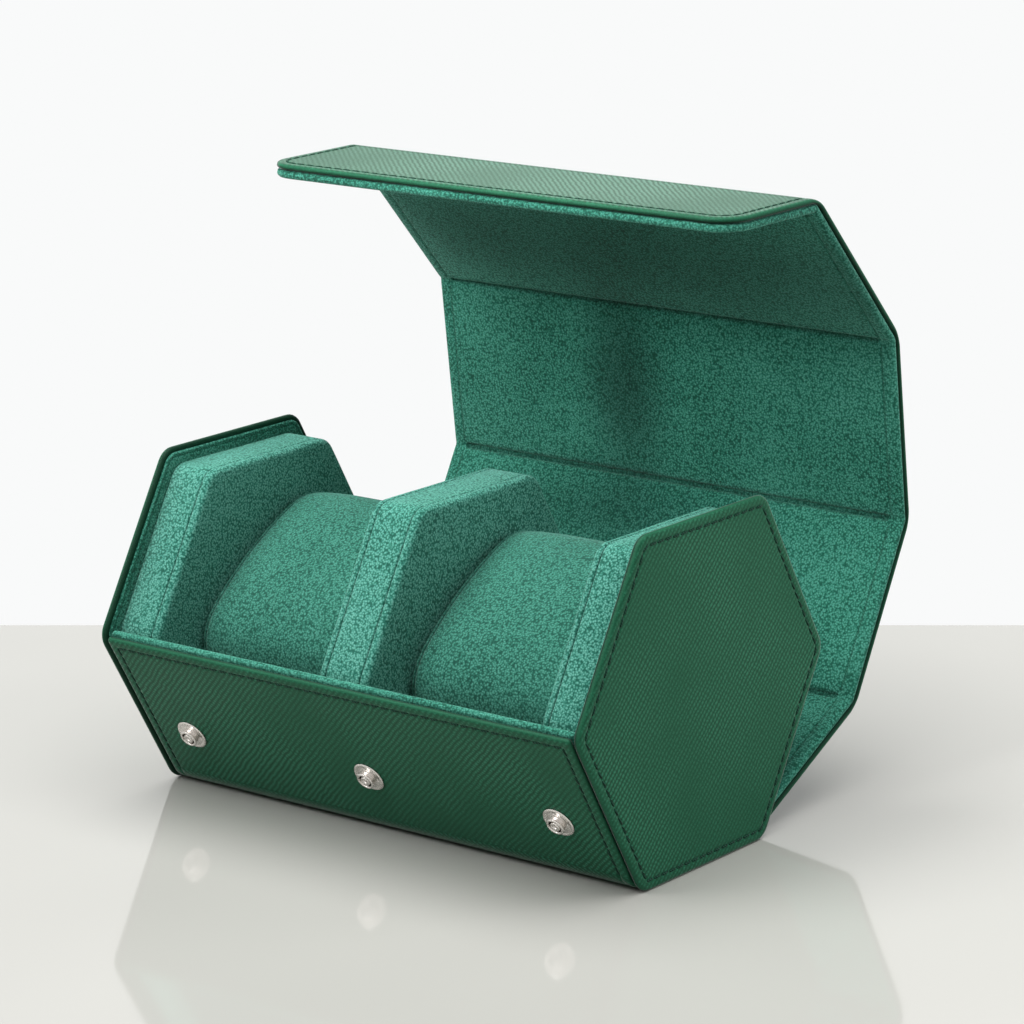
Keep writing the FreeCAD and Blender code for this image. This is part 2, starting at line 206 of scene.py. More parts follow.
def grainedLeather(name):
    material, tree = startMaterial(name)
    place = addNode(tree, "ShaderNodeAttribute", {"attribute_name": "grainMm"}).outputs["Vector"]
    turned = addNode(tree, "ShaderNodeMapping", Vector=place, Rotation=(0, 0, math.radians(leather["slant"])))
    drift = addNode(tree, "ShaderNodeTexNoise", Vector=place, Scale=1 / leather["wanderSize"], Detail=2.0)
    pulled = addNode(
        tree, "ShaderNodeVectorMath", {"operation": "SCALE"},
        in0=drift.outputs["Color"], Scale=2 * leather["wander"],
    )
    drawn = addNode(tree, "ShaderNodeVectorMath", in0=turned, in1=pulled)
    ridges = addNode(
        tree, "ShaderNodeTexWave", {"bands_direction": "X"}, Vector=drawn,
        Scale=waveUnit / leather["ridgePitch"], Distortion=leather["ridgeSway"], Detail=2.0, Detail_Scale=1.2,
    )
    beads = addNode(
        tree, "ShaderNodeTexWave", {"bands_direction": "Y"}, Vector=drawn,
        Scale=waveUnit / leather["beadPitch"], Distortion=leather["beadSway"], Detail=2.0, Detail_Scale=1.3,
    )
    pores = addNode(tree, "ShaderNodeTexNoise", Vector=place, Scale=1 / leather["poreSize"], Detail=2.0)
    hand = addNode(tree, "ShaderNodeTexNoise", Vector=place, Scale=1 / leather["handSize"], Detail=2.0)
    cut = addNode(  # the beads only thin the ridges out between them
        tree, "ShaderNodeMath", {"operation": "MULTIPLY_ADD"},
        in0=beads.outputs["Fac"], in1=leather["beadShare"], in2=leather["beadKeep"],
    )
    beaded = addNode(tree, "ShaderNodeMath", {"operation": "MULTIPLY"}, in0=ridges.outputs["Fac"], in1=cut)
    faint = addNode(tree, "ShaderNodeMapRange", Value=hand, in1=0.38, in2=0.62, in3=0.7, in4=0.1)
    rim = addNode(tree, "ShaderNodeSeparateXYZ", Vector=place)
    flat = addNode(  # the embossing fades out where it was pressed less, and on the rolled rims
        tree, "ShaderNodeMath", {"operation": "MAXIMUM"}, in0=faint, in1=rim.outputs["Z"],
    )
    pressed = addNode(tree, "ShaderNodeMix", in0=flat, in2=beaded, in3=0.3)
    height = addNode(
        tree, "ShaderNodeMath", {"operation": "MULTIPLY_ADD"},
        in0=pores, in1=leather["poreShare"], in2=pressed,
    )
    tone = addNode(
        tree, "ShaderNodeMath", {"operation": "MULTIPLY_ADD"},
        in0=hand, in1=leather["handShare"], in2=height,
    )
    low, high = leather["toneSpan"]
    spread = addNode(tree, "ShaderNodeMapRange", Value=tone, in1=low, in2=high)
    ramp = addNode(tree, "ShaderNodeValToRGB", Fac=spread)
    colour = setRamp(ramp, [(0.0, leather["valley"]), (0.45, leather["body"]), (1.0, leather["top"])])
    edge = addNode(  # the rolled rim has its edge paint and painted shade, darker towards its underside
        tree, "ShaderNodeMapRange", Value=rim.outputs["Z"],
        in1=1.3, in2=1.8, in3=1.0, in4=leather["edgeShade"],
    )
    edgePaintAndShade = addNode(tree, "ShaderNodeVectorMath", {"operation": "SCALE"}, in0=colour, Scale=edge)
    worn = addNode(
        tree, "ShaderNodeMapRange", Value=flat,
        To_Min=leather["roughness"], To_Max=leather["roughness"] + leather["worn"],
    )
    bump = addNode(tree, "ShaderNodeBump", Height=height, Strength=0.6, Distance=leather["lift"] * mm)
    angle = addNode(tree, "ShaderNodeLayerWeight", Blend=0.5)
    veil = addNode(
        tree, "ShaderNodeMapRange", Value=angle.outputs["Facing"], in1=0.55, in2=0.75, in3=0.05, in4=0.5,
    )
    glance = addNode(
        tree, "ShaderNodeMapRange", Value=angle.outputs["Facing"], in1=0.8, in2=1.0, in3=1.0, in4=0.15,
    )
    ridged = addNode(tree, "ShaderNodeMapRange", Value=height, in1=0.3, in2=0.8, in3=0.4, in4=1.5)
    shine = addNode(  # most of the grey shine sits on the ridges, and it goes again at a glancing angle
        tree, "ShaderNodeMath", {"operation": "MULTIPLY"}, in0=veil, in1=ridged,
    )
    sheen = addNode(tree, "ShaderNodeMath", {"operation": "MULTIPLY"}, in0=shine, in1=glance)
    shader = addNode(
        tree, "ShaderNodeBsdfPrincipled", Base_Color=edgePaintAndShade, Roughness=worn,
        Normal=bump, IOR=1.5, Specular_IOR_Level=0.1,
        Sheen_Weight=sheen, Sheen_Roughness=0.32, Sheen_Tint=hexLinear(leather["sheen"]),
    )
    return finishMaterial(material, shader)


# Microfibre suede with a fine pebbled nap: rounded tufts with dark gaps between them, brushed into soft
# patches, crushed and darkened with painted shade along its seams and creases, painted shade at the cushions'
# ends and in a few spots on the lining, and a pale velvet edge where it turns away
suede = {
    "tuft": 0.62, "gapSpan": (0.05, 0.75), "fibre": 0.42, "fibreShare": 0.5, "brushed": 34.0,
    "seamShade": 0.3, "lift": 0.16, "toneAt": (0.0, 0.35, 0.65, 1.0), "patchSpan": (0.1, 1.3),
    "sheen": "#a9d6c8",
}
upperMiddle = panels["front_upper"].point(0, panels["front_upper"].length / 2, panelThick)
suedeLooks = {  # gaps, brushing and level are shares of the tones; a patch darkens the nap: brushed nap on the top panel, painted shade elsewhere
    "lining": {
        "gaps": 0.85, "brushing": 0.5, "level": 0.61, "tones": ("#0f372c", "#236251", "#3b8270", "#559786"),
        "patches": [
            {"middle": (-14.0, 96.0, 101.0), "reach": (17.0, 30.0, 34.0), "keeps": 0.4},
            # painted shade on the rear lining behind the divider
            {"middle": (-16.0, 93.0, 63.0), "reach": (48.0, 17.0, 17.0), "keeps": 0.55},
            # painted shade on the downward-facing lining under the flap
            {"middle": upperMiddle, "reach": (200.0, 32.0, 32.0), "keeps": 0.6},
        ],
    },
    "cushion": {
        "gaps": 0.95, "brushing": 0.3, "level": 0.6, "tones": ("#113b31", "#245c4e", "#397767", "#4e8a7b"),
        "patches": [],
    },
    "pad": {
        "gaps": 1.05, "brushing": 0.2, "level": 0.69, "tones": ("#134136", "#2a6b5c", "#48897a", "#62a092"),
        "patches": [],
    },
}


def nappedSuede(name, look):
    material, tree = startMaterial(name)
    place = addNode(tree, "ShaderNodeTexCoord").outputs["Object"]
    tufts = addNode(
        tree, "ShaderNodeTexVoronoi", {"feature": "SMOOTH_F1"}, Vector=place,
        Scale=1 / (suede["tuft"] * mm), Detail=0.0, Smoothness=0.35,
    )
    fibres = addNode(
        tree, "ShaderNodeTexNoise", Vector=place, Scale=1 / (suede["fibre"] * mm), Detail=2.0, Roughness=0.6,
    )
    brushed = addNode(
        tree, "ShaderNodeTexNoise", Vector=place, Scale=1 / (suede["brushed"] * mm),
        Detail=2.0, Roughness=0.4, Distortion=0.4,
    )
    middle, rim = suede["gapSpan"]
    gaps = addNode(
        tree, "ShaderNodeMapRange", Value=tufts.outputs["Distance"],
        in1=middle, in2=rim, in3=look["gaps"] / 2, in4=-look["gaps"] / 2,
    )
    nap = addNode(
        tree, "ShaderNodeMath", {"operation": "MULTIPLY_ADD"},
        in0=fibres, in1=suede["fibreShare"], in2=gaps,
    )
    shaded = addNode(
        tree, "ShaderNodeMath", {"operation": "MULTIPLY_ADD"},
        in0=brushed, in1=look["brushing"], in2=nap,
    )
    level = look["level"] - suede["fibreShare"] / 2 - look["brushing"] / 2  # both noises average a half
    tone = addNode(tree, "ShaderNodeMath", in0=shaded, in1=level)
    ramp = addNode(tree, "ShaderNodeValToRGB", Fac=tone)
    colour = setRamp(ramp, list(zip(suede["toneAt"], look["tones"])))
    # grainMm's third value darkens the colour: crushed nap with painted shade in seams and creases, painted
    # shade at cushion ends
    grain = addNode(tree, "ShaderNodeAttribute", {"attribute_name": "grainMm"}).outputs["Vector"]
    seam = addNode(tree, "ShaderNodeSeparateXYZ", Vector=grain)
    dark = addNode(tree, "ShaderNodeMapRange", Value=seam.outputs["Z"], To_Min=1.0, To_Max=suede["seamShade"])
    inner, outer = suede["patchSpan"]
    # each patch darkens the colour; the lining's look says which patch is brushed nap and which is painted
    # shade
    for patch in look["patches"]:
        near = addNode(
            tree, "ShaderNodeMapping", {"vector_type": "TEXTURE"}, Vector=place,
            Location=[c * mm for c in patch["middle"]], Scale=[c * mm for c in patch["reach"]],
        )
        away = addNode(tree, "ShaderNodeVectorMath", {"operation": "LENGTH"}, in0=near)
        strokedAndShaded = addNode(
            tree, "ShaderNodeMapRange", {"interpolation_type": "SMOOTHSTEP"}, Value=away.outputs["Value"],
            in1=inner, in2=outer, in3=patch["keeps"], in4=1.0,
        )
        dark = addNode(tree, "ShaderNodeMath", {"operation": "MULTIPLY"}, in0=dark, in1=strokedAndShaded)
    crushed = addNode(tree, "ShaderNodeVectorMath", {"operation": "SCALE"}, in0=colour, Scale=dark)
    bump = addNode(tree, "ShaderNodeBump", Height=nap, Strength=0.7, Distance=suede["lift"] * mm)
    shader = addNode(
        tree, "ShaderNodeBsdfPrincipled", Base_Color=crushed, Roughness=0.95,
        Normal=bump, Specular_IOR_Level=0.1,
        Sheen_Weight=0.3, Sheen_Roughness=0.5, Sheen_Tint=hexLinear(suede["sheen"]),
    )
    return finishMaterial(material, shader)


# Waxed polyester thread: two plies twisted together, slightly shiny
plies = {"pitch": 0.5, "lift": 0.08}


def twistedThread(name, dark, pale):
    material, tree = startMaterial(name)
    place = addNode(tree, "ShaderNodeAttribute", {"attribute_name": "grainMm"}).outputs["Vector"]
    twist = addNode(
        tree, "ShaderNodeTexWave", {"bands_direction": "DIAGONAL"}, Vector=place,
        Scale=waveUnit / plies["pitch"], Distortion=0.3,
    ).outputs["Fac"]
    ramp = addNode(tree, "ShaderNodeValToRGB", Fac=twist)
    colour = setRamp(ramp, [(0.2, dark), (0.8, pale)])
    bump = addNode(tree, "ShaderNodeBump", Height=twist, Strength=0.5, Distance=plies["lift"] * mm)
    shader = addNode(
        tree, "ShaderNodeBsdfPrincipled", Base_Color=colour, Roughness=0.55, Normal=bump,
        Specular_IOR_Level=0.12,
    )
    return finishMaterial(material, shader)


# Nickel-plated brass, pressed and tumbled: bright, with a faint frosted break-up in the shine
plating = {"frost": 0.7, "lift": 0.05, "brighter": 0.1, "duller": 0.14}


def nickelPlate(name, tint, roughness):
    material, tree = startMaterial(name)
    place = addNode(tree, "ShaderNodeTexCoord").outputs["Object"]
    tumbled = addNode(tree, "ShaderNodeTexNoise", Vector=place, Scale=1 / (plating["frost"] * mm), Detail=3.0)
    dull = addNode(
        tree, "ShaderNodeMapRange", Value=tumbled,
        To_Min=roughness - plating["brighter"], To_Max=roughness + plating["duller"],
    )
    bump = addNode(tree, "ShaderNodeBump", Height=tumbled, Strength=0.1, Distance=plating["lift"] * mm)
    shader = addNode(
        tree, "ShaderNodeBsdfPrincipled", Base_Color=hexLinear(tint), Metallic=1.0,
        Roughness=dull, Normal=bump,
    )
    return finishMaterial(material, shader)


# Fibreboard, hot-pressed, and polyether foam, cut from a block: a dull speckle, hidden inside the pieces
def pressedFibre(name, dark, pale, size):
    material, tree = startMaterial(name)
    place = addNode(tree, "ShaderNodeTexCoord").outputs["Object"]
    fibres = addNode(
        tree, "ShaderNodeTexNoise", Vector=place, Scale=1 / (size * mm), Detail=4.0, Roughness=0.7,
    )
    ramp = addNode(tree, "ShaderNodeValToRGB", Fac=fibres)
    colour = setRamp(ramp, [(0.3, dark), (0.7, pale)])
    bump = addNode(tree, "ShaderNodeBump", Height=fibres, Strength=0.4, Distance=0.1 * mm)
    shader = addNode(tree, "ShaderNodeBsdfPrincipled", Base_Color=colour, Roughness=0.9, Normal=bump)
    return finishMaterial(material, shader)


finishes = {
    "leather": grainedLeather("embossed_calf_leather"),
    "lining": nappedSuede("microfibre_suede_lining", suedeLooks["lining"]),
    "cushion": nappedSuede("microfibre_suede_cushion", suedeLooks["cushion"]),
    "pad": nappedSuede("microfibre_suede_pad", suedeLooks["pad"]),
    "thread": twistedThread("waxed_polyester_thread", "#0a231a", "#1a4435"),
    "liningThread": twistedThread("pale_polyester_thread", "#1b5041", "#2c6c59"),
    "nickel": nickelPlate("nickel_plated_brass", "#d9d4cf", 0.24),
    "steel": nickelPlate("tumbled_steel", "#b9b6b2", 0.32),
    # steel painted dark: painted shade in the hollows of the stud posts
    "darkSteel": nickelPlate("blackened_steel", "#3b3835", 0.45),
    "fibreboard": pressedFibre("fibreboard", "#86663f", "#a98758", 0.9),
    "foam": pressedFibre("polyether_foam", "#c9c2ae", "#e3dcc8", 1.6),
}
print("materials made:", len(finishes))


# Mesh helpers

crispAngle = 38  # edges that turn by more than this stay crisp, in degrees


def makePiece(name, points, faces, finish, grain=None, sharpAngle=crispAngle):
    mesh = bpy.data.meshes.new(name)
    mesh.from_pydata([Vector(p) * mm for p in points], [], faces)
    shape = bmesh.new()
    shape.from_mesh(mesh)
    bmesh.ops.recalc_face_normals(shape, faces=shape.faces)
    shape.to_mesh(mesh)
    shape.free()
    mesh.shade_smooth()
    mesh.set_sharp_from_angle(angle=math.radians(sharpAngle))
    if grain:
        attribute = mesh.attributes.new("grainMm", "FLOAT_VECTOR", "POINT")
        attribute.data.foreach_set("vector", [value for place in grain for value in place])
    mesh.materials.append(finishes[finish])
    piece = bpy.data.objects.new(name, mesh)
    scene.collection.objects.link(piece)
    return piece


def bridge(rows):  # quads between closed rows of equal length, given as vertex numbers
    faces = []
    for first, second in zip(rows[:-1], rows[1:]):
        count = len(first)
        for place in range(count):
            after = (place + 1) % count
            faces.append((first[place], first[after], second[after], second[place]))
    return faces


def loft(rings):  # a skin through rings of equal length, filled at both ends
    points, rows = [], []
    for ring in rings:
        rows.append(range(len(points), len(points) + len(ring)))
        points += ring
    return points, bridge(rows) + [tuple(rows[0]), tuple(rows[-1])]


def bullnose(low, high, steps=6):  # (inset, depth) round an edge from the low face to the high one
    radius = (high - low) / 2
    turns = [math.pi * step / steps for step in range(steps + 1)]
    return [(radius - radius * math.sin(t), low + radius - radius * math.cos(t)) for t in turns]


# Wrap panels: a leather face and a suede lining, each with its own rolled edge and a groove between

edgeRoll = {
    "leatherDeep": 1.7, "liningFrom": 1.85, "stitchInset": 3.0, "stitchGroove": 0.18, "grooveHalf": 0.5,
    "liningStitchInset": 4.0, "liningGroove": 0.2,
    "rimFlat": 0.5,  # how far the embossing is gone on the rims
    "seamCrush": 0.7,  # how far the nap is crushed along the lining's stitches and darkened there with painted shade in the groove
    "frontShy": 0.35,  # the front's leather stays under the closed lid's lining
}
endCap = {  # the caps' leather has the same stitch groove as the panels'
    "corner": 6.0, "leatherDeep": 2.0, "rim": 1.5, "liningFrom": 1.3, "hem": (0.25, 0.6),
    "half": 0.5, "seamInset": 2.6, "seamDip": 0.16,
}
freeCorner = {"flap": 9.0, "front": 1.2}  # radius at the corners of the wrap's two free edges


def sewnFace():  # (inset, depth) over a leather face and its stitch groove, up to the rolled edge
    inset, half, dip = edgeRoll["stitchInset"], edgeRoll["grooveHalf"], edgeRoll["stitchGroove"]
    face = [(inset + 3 * half, 0.0), (inset + 2 * half, 0.0), (inset + half, 0.03), (inset + half / 3, dip)]
    return face + [(inset - half / 3, dip), (inset - half, 0.02), (inset - 2 * half, -0.04)]


def leatherProfile():
    inset, half, deep = edgeRoll["stitchInset"], edgeRoll["grooveHalf"], edgeRoll["leatherDeep"]
    return sewnFace() + bullnose(0.0, deep) + [(inset + 2 * half, deep), (inset + 3 * half, deep)]


def liningProfile():
    inset, half, dip = edgeRoll["liningStitchInset"], edgeRoll["grooveHalf"], edgeRoll["liningGroove"]
    top = panelThick
    flat = [(inset + 3 * half, top), (inset + 2 * half, top), (inset + half, top - 0.03), (inset, top - dip)]
    flat += [(inset - half, top - 0.02), (inset - 2 * half, top + 0.05)]
    low = edgeRoll["liningFrom"]
    nose = [(i, top + low - d) for i, d in bullnose(low, top)]
    return flat + nose + [(inset + 2 * half, low), (inset + 3 * half, low)]


def panelRing(panel, inset, depth, ends, steps=8):
    # Loop round a panel at one inset: up its right side, across the far end and back down the left
    half = halfWidth - inset
    nearEnd, farEnd = ends
    right = [(half, nearEnd)]
    if panel.mitres[1] is not None:
        right.append((half, farEnd))
    else:
        far, radius = farEnd - inset, max(freeCorner[panel.name] - inset, 0.3)
        for step in range(steps + 1):
            turn = math.pi / 2 * step / steps
            right.append((half - radius + radius * math.cos(turn), far - radius + radius * math.sin(turn)))
    loop = right + [(-x, y) for x, y in reversed(right)]
    return [panel.point(x, y, depth) for x, y in loop], loop


def smoothRim(inset, depth):  # 1 where the rolled leather has lost its embossing, 2 on its underside, darkened by edge paint and painted shade
    if depth > edgeRoll["stitchGroove"]:
        return 1.0 + min(depth / edgeRoll["leatherDeep"], 1.0)
    return edgeRoll["rimFlat"] if inset < edgeRoll["stitchInset"] else 0.0


def seamLine(inset, depth):  # how crushed the lining's nap is along its stitched line, with painted shade in its groove
    return edgeRoll["seamCrush"] if inset in (edgeRoll["liningStitchInset"], endCap["seamInset"]) else 0.0


def panelPlate(name, panel, profile, ends, finish):
    marked = smoothRim if finish == "leather" else seamLine
    start = wrapStart.get(panel.name, 0.0)
    rings, grain = [], []
    for inset, depth in profile:
        ring, plan = panelRing(panel, inset, depth, ends)
        rings.append(ring)
        grain += [(panel.side * -x, panel.side * -(start + y), marked(inset, depth)) for x, y in plan]
    return makePiece(name, *loft(rings), finish, grain)


foldFlat = {"leather": 4.6, "lining": 1.1}  # how much of each panel edge belongs to its fold


def leatherEnds(panel):  # where a panel's leather starts and stops between its folds
    near, far = foldFlat["leather"], panel.length
    if panel.name == "front":
        return near, far - edgeRoll["frontShy"]
    return near, far if panel.mitres[1] is None else far - near


def liningEnds(panel):
    near = panel.setBack(panelThick, panel.mitres[0]) + foldFlat["lining"]
    if panel.mitres[1] is None:
        return near, panel.length
    return near, panel.length - panel.setBack(panelThick, panel.mitres[1]) - foldFlat["lining"]


def buildPanels():
    for name, panel in panels.items():
        face = panelPlate(name + "_leather_face", panel, leatherProfile(), leatherEnds(panel), "leather")
        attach(face, panel.body)
        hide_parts(name + "_leather", name + "_board")
        lining = panelPlate(name + "_suede_lining", panel, liningProfile(), liningEnds(panel), "lining")
        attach(lining, panel.body)
        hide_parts(name + "_lining")
        if name == "front":
            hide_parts("front_binding")


# Folds: the leather runs round each fold axis, and the suede dips into a crease over it

def between(first, second, share):
    return tuple(a + (b - a) * share for a, b in zip(first, second))


def foldLoop(profile):  # one loop across the panel: right side, then left
    right = [(halfWidth - inset, inset, depth) for inset, depth in profile]
    return right + [(-x, inset, depth) for x, inset, depth in reversed(right)]


def stripPiece(name, rows, finish, grainAt, marks):
    grain = []
    for row, run, rowMarks in zip(rows, grainAt, marks):
        grain += [(-p[0], -run, mark) for p, mark in zip(row, rowMarks)]
    return makePiece(name, *loft(rows), finish, grain)


bend = {"tangent": 4.2, "thinEdge": 0.75, "thinMiddle": 0.52}  # thin: share of the leather left in the bend


def leatherFold(name, before, after, run, steps=10):
    # before ends at the fold, after starts from it; a wide soft bend touches both of their outsides
    loop = foldLoop(leatherProfile())
    flat = foldFlat["leather"]
    turn = after.heading - before.heading
    half = math.radians(turn / 2)
    radius = foldRadius + bend["tangent"] / math.tan(half)
    bisector = unit((before.heading + after.heading) / 2 + 90)
    reach = (radius - foldRadius) / math.cos(half)
    centre = [after.origin[k] + reach * bisector[k] for k in range(2)]
    rows = [[before.point(x, before.length - flat, depth) for x, inset, depth in loop]]
    grainAt = [run - flat]
    for step in range(steps + 1):
        inward = unit(before.heading + turn * step / steps + 90)
        bent = 1 - abs(2 * step / steps - 1) ** 2
        row = []
        for x, inset, depth in loop:
            thin = bend["thinEdge"] if inset < edgeRoll["stitchInset"] else bend["thinMiddle"]
            lift = depth * (1 - (1 - thin) * bent) - radius
            row.append((x, centre[0] + lift * inward[0], centre[1] + lift * inward[1]))
        rows.append(row)
        grainAt.append(run + bend["tangent"] * (2 * step / steps - 1))
    rows.append([after.point(x, flat, depth) for x, inset, depth in loop])
    grainAt.append(run + flat)
    marks = [smoothRim(inset, depth) for x, inset, depth in loop]
    return stripPiece(name, rows, "leather", grainAt, [marks] * len(rows)), turn


crease = {
    "depth": 1.1, "lip": 0.2, "shoulder": 0.04, "bare": 4.6, "edgeShare": 0.25, "rowStep": 0.4, "reach": 0.4,
    "marks": (0.0, 0.0, 0.1, 0.6, 0.7, 0.6, 0.1, 0.0, 0.0),  # how crushed the nap is across the crease and how far painted shade darkens it there
}


def suedeFold(name, before, after, run):
    loop = foldLoop(liningProfile())
    mitre = after.mitres[0]
    flat = foldFlat["lining"]

    def dipped(inset, depth, amount):  # only the inner face dips, and less beside the edge roll
        share = (depth - edgeRoll["liningFrom"]) / (panelThick - edgeRoll["liningFrom"])
        return depth - amount * share * (1.0 if inset > crease["bare"] else crease["edgeShare"])

    def rowOn(panel, share, amount, ending):
        row = []
        for x, inset, depth in loop:
            edge = panel.setBack(panelThick, mitre) + flat
            tight = panel.setBack(depth, mitre)
            place = edge + (tight - edge) * share
            y = panel.length - place if ending else place
            row.append(panel.point(x, y, dipped(inset, depth, amount)))
        return row

    steps = ((0.0, 0.0), (0.55, crease["shoulder"]), (1.0, crease["lip"]))
    rows = [rowOn(before, share, amount, True) for share, amount in steps]
    lastBefore = rowOn(before, 1.0, crease["depth"], True)
    firstAfter = rowOn(after, 1.0, crease["depth"], False)
    rows += [[between(a, b, share) for a, b in zip(lastBefore, firstAfter)] for share in (0.25, 0.5, 0.75)]
    rows += [rowOn(after, share, amount, False) for share, amount in reversed(steps)]
    grainAt = [run + crease["rowStep"] * (number - len(rows) // 2) for number in range(len(rows))]
    within = [1.0 if inset > crease["bare"] else 0.0 for x, inset, depth in loop]
    # the marks darken the crease: crushed nap with painted crease shade
    marks = [[mark * share for share in within] for mark in crease["marks"]]
    return stripPiece(name, rows, "lining", grainAt, marks)


def bendAcross(piece):
    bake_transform(piece)


def buildFolds():
    for number, foldName in enumerate(foldNames):
        before, after = panels[wrapOrder[number]], panels[wrapOrder[number + 1]]
        run = wrapStart[after.name]
        skin, turn = leatherFold(foldName + "_leather", before, after, run)
        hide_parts(foldName)
        bendAcross(skin)
        soft = suedeFold(foldName + "_suede", before, after, run)
        bendAcross(soft)
    frontDown = Panel("front_down", "case_body", frontBase, -hexTurn, 0, (baseMitre, baseMitre))
    skin, turn = leatherFold("front_base_fold_leather", frontDown, panels["bottom"], 0.0)
    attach(skin, "case_body")
    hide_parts("front_base_fold")
    soft = suedeFold("front_base_fold_suede", frontDown, panels["bottom"], 0.0)
    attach(soft, "case_body")


buildPanels()
buildFolds()
print("wrap panels and folds built")


# End caps and pads: rounded hexagons across the case

def hexCorners(insets):
    # Corners of the case outline with each side set in, from the bottom side round by the rear
    corners = []
    for number in range(6):
        here, after = apothem - insets[number], apothem - insets[(number + 1) % 6]
        along = (after - here * unit(hexTurn)[0]) / unit(hexTurn)[1]
        down = unit(number * hexTurn - 90)
        ahead = unit(number * hexTurn)
        corners.append((here * down[0] + along * ahead[0], apothem + here * down[1] + along * ahead[1]))
    return corners


def hexRing(insets, radius, steps=5, sides=6):
    # Points round a hexagon with rounded corners, evenly shared along its sides
    corners = hexCorners(insets)
    radius = max(radius, 0.2)
    back = radius * unit(hexTurn)[1] / (1 + unit(hexTurn)[0])
    ring = []
    for number, corner in enumerate(corners):
        ahead, up = unit(number * hexTurn), unit(number * hexTurn + 90)
        start = (corner[0] - back * ahead[0], corner[1] - back * ahead[1])
        centre = (start[0] + radius * up[0], start[1] + radius * up[1])
        before = corners[number - 1]
        left = (before[0] + back * ahead[0], before[1] + back * ahead[1])
        ring += [between(left, start, step / sides) for step in range(1, sides)]
        for step in range(steps + 1):
            turn = unit(number * hexTurn - 90 + hexTurn * step / steps)
            ring.append((centre[0] + radius * turn[0], centre[1] + radius * turn[1]))
    return ring


def capPlate(name, side, profile, finish):
    marked = smoothRim if finish == "leather" else seamLine
    rings, grain = [], []
    for inset, depth in profile:
        ring = hexRing([inset] * 6, endCap["corner"] - inset)
        rings.append([(side * (halfLength - depth), y, z) for y, z in ring])
        grain += [(side * y, z, marked(inset, depth)) for y, z in ring]
    return makePiece(name, *loft(rings), finish, grain)


def capOutside():  # leather face with its stitch groove, rolled over the rim and hemmed inside
    deep, half, hem = endCap["leatherDeep"], endCap["half"], endCap["hem"]
    hemmed = [(endCap["rim"] + half, deep - hem[0]), (edgeRoll["stitchInset"], deep - hem[1])]
    return sewnFace() + bullnose(0.0, deep) + hemmed


def capInside():  # suede ledge set in from the rolled rim, with a pressed seam line
    rim, low, seam, half = endCap["rim"], endCap["liningFrom"], endCap["seamInset"], endCap["half"]
    profile = [(seam + 2 * half, low), (rim + half, low)]
    profile += [(rim + inset, depth) for inset, depth in bullnose(low, capThick)]
    profile += [(seam - half, capThick), (seam, capThick - endCap["seamDip"]), (seam + half, capThick)]
    return profile + [(seam + 2 * half, capThick), (seam + 3 * half, capThick)]


def buildCaps():
    for side, name in ((-1, "left"), (1, "right")):
        face = capPlate(name + "_cap_leather_face", side, capOutside(), "leather")
        lining = capPlate(name + "_cap_suede_lining", side, capInside(), "lining")
        for piece, slot in ((face, "leather"), (lining, "suede")):
            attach(piece, "case_body")
        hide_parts(name + "_cap_leather", name + "_cap_board")
        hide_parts(name + "_cap_lining")


pad = {
    "corner": 6.0, "edge": 1.7, "seamFrom": 2.2, "seamDip": 0.55, "seamHalf": 0.34,
    "lump": 0.12, "lumpSize": 14.0,
    "crown": 0.2, "crowned": ((1, 24), (0.95, 16), (0.75, 9), (0.35, 4.5)),  # share of it at each inset
    "plainEdge": 0.5, "plainInset": 0.6, "plainMiddle": 6.0,  # the glued face, against the cap
}


def lumpy(x, y, z):  # the stuffing shows a little through the cover
    soft = noise.noise(Vector((x, y, z)) / pad["lumpSize"]) * pad["lump"]
    return x, y + soft * 0.5, z + soft


def padPiece(name, node, softSides):
    low, high = boxMm(node)
    seat, margin = low.z, 2 * apothem - high.z
    insets = [seat, margin, margin, margin, margin, seat]

    def edgeRows(x, sign):  # rows from the middle of a soft face out over its edge and past the seam
        faceRows = [(x + sign * pad["crown"] * share, inset, 0.0) for share, inset in pad["crowned"]]
        steps = 5
        for step in range(steps + 1):
            turn = math.pi / 2 * step / steps
            faceRows.append((
                x - sign * pad["edge"] * (1 - math.cos(turn)), pad["edge"] * (1 - math.sin(turn)), 0.0,
            ))
        seam, half, dip = pad["seamFrom"], pad["seamHalf"], pad["seamDip"]
        # marks: crushed nap with painted shade in the seam groove
        dipped = ((-1, 0.04, 0.0), (-0.33, dip, 1.0), (0.33, dip, 1.0), (1, 0.06, 0.0), (2, 0.0, 0.0))
        for share, inset, mark in dipped:
            faceRows.append((x - sign * (seam + half + share * half), inset, mark))
        return faceRows

    def plainRows(x, sign):
        insets = (pad["plainMiddle"], pad["plainInset"])
        return [(x, inset, 0.0) for inset in insets] + [(x - sign * pad["plainEdge"], 0.0, 0.0)]

    left = edgeRows(low.x, -1) if -1 in softSides else plainRows(low.x, -1)
    right = edgeRows(high.x, 1) if 1 in softSides else plainRows(high.x, 1)
    rings, grain = [], []
    for x, inset, mark in left + right[::-1]:
        ring = hexRing([side + inset for side in insets], pad["corner"] - inset, sides=8)
        rings.append([lumpy(x, y, z) for y, z in ring])
        grain += [(y, z, mark) for y, z in ring]
    piece = makePiece(name, *loft(rings), "pad", grain, sharpAngle=75)
    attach(piece, "case_body")
    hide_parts(node)


buildCaps()
padPiece("left_pad_upholstery", "left_pad_cover", (1,))
padPiece("divider_upholstery", "divider_cover", (-1, 1))
padPiece("right_pad_upholstery", "right_pad_cover", (-1,))
print("caps and pads built")


# Watch cushions: an oval roll sewn from a band and two end panels, blown up by a cloth simulation

